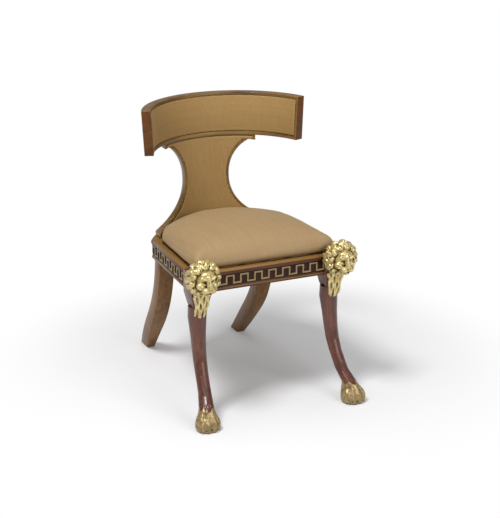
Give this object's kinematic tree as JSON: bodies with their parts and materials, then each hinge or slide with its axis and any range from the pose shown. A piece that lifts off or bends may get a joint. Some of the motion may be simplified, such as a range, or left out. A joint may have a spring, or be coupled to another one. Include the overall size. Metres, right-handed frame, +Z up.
{
  "type": "klismos side chair",
  "caption": "Klismos side chair with a deep bowed crest, hourglass splat, crowned drop-in seat, lion-headed front legs with paw feet and sabre rear legs.",
  "frame": {"origin": "on the floor, under the middle of the chair's overall width and depth", "axes": "+Z up, -Y towards the front of the chair, +X to the right seen from the front"},
  "size_m": [0.552, 0.75, 0.86],
  "materials": {
    "polished_fruitwood": "French-polished, golden brown",
    "mahogany": "French-polished mahogany",
    "dark_rail_wood": "dark polished mahogany ground",
    "gilt_wood": "water-gilt carved wood",
    "moulding_wood": "polished brown moulding",
    "seat_fabric": "tan-gold woven silk with fine vertical streaks",
    "jute_webbing": "woven jute",
    "screw_steel": "turned steel",
    "beech": "planed beech"
  },
  "bodies": {
    "root": {"bottom_bead_back": "moulding_wood", "bottom_bead_front": "moulding_wood", "bottom_bead_left": "moulding_wood", "bottom_bead_right": "moulding_wood", "chest_mane_left": "gilt_wood", "chest_mane_right": "gilt_wood", "corner_brace_left": "beech", "corner_brace_right": "beech", "corner_brace_screws": "screw_steel", "crest_backing_board": "beech", "crest_dowels": "beech", "crest_pad": "seat_fabric", "crest_rail": "polished_fruitwood", "front_leg_left": "mahogany", "front_leg_right": "mahogany", "front_rail_dowels": "beech", "key_fret_back": "gilt_wood", "key_fret_front": "gilt_wood", "key_fret_left": "gilt_wood", "key_fret_right": "gilt_wood", "lion_head_left": "gilt_wood", "lion_head_right": "gilt_wood", "rear_block_screws": "screw_steel", "rear_corner_block_left": "beech", "rear_corner_block_right": "beech", "rear_leg_left": "mahogany", "rear_leg_right": "mahogany", "seat_cushion": "seat_fabric", "seat_frame_back": "beech", "seat_frame_front": "beech", "seat_frame_left": "beech", "seat_frame_right": "beech", "seat_rail_back": "dark_rail_wood", "seat_rail_front": "dark_rail_wood", "seat_rail_left": "dark_rail_wood", "seat_rail_right": "dark_rail_wood", "seat_screws": "screw_steel", "side_rail_back_dowels": "beech", "side_rail_front_dowels": "beech", "splat_backing_board": "beech", "splat_dowels": "beech", "splat_frame": "polished_fruitwood", "splat_pad": "seat_fabric", "top_moulding_back": "moulding_wood", "top_moulding_front": "moulding_wood", "top_moulding_left": "moulding_wood", "top_moulding_right": "moulding_wood", "webbing_crosswise": "jute_webbing", "webbing_lengthwise": "jute_webbing"}
  },
  "joints": []
}
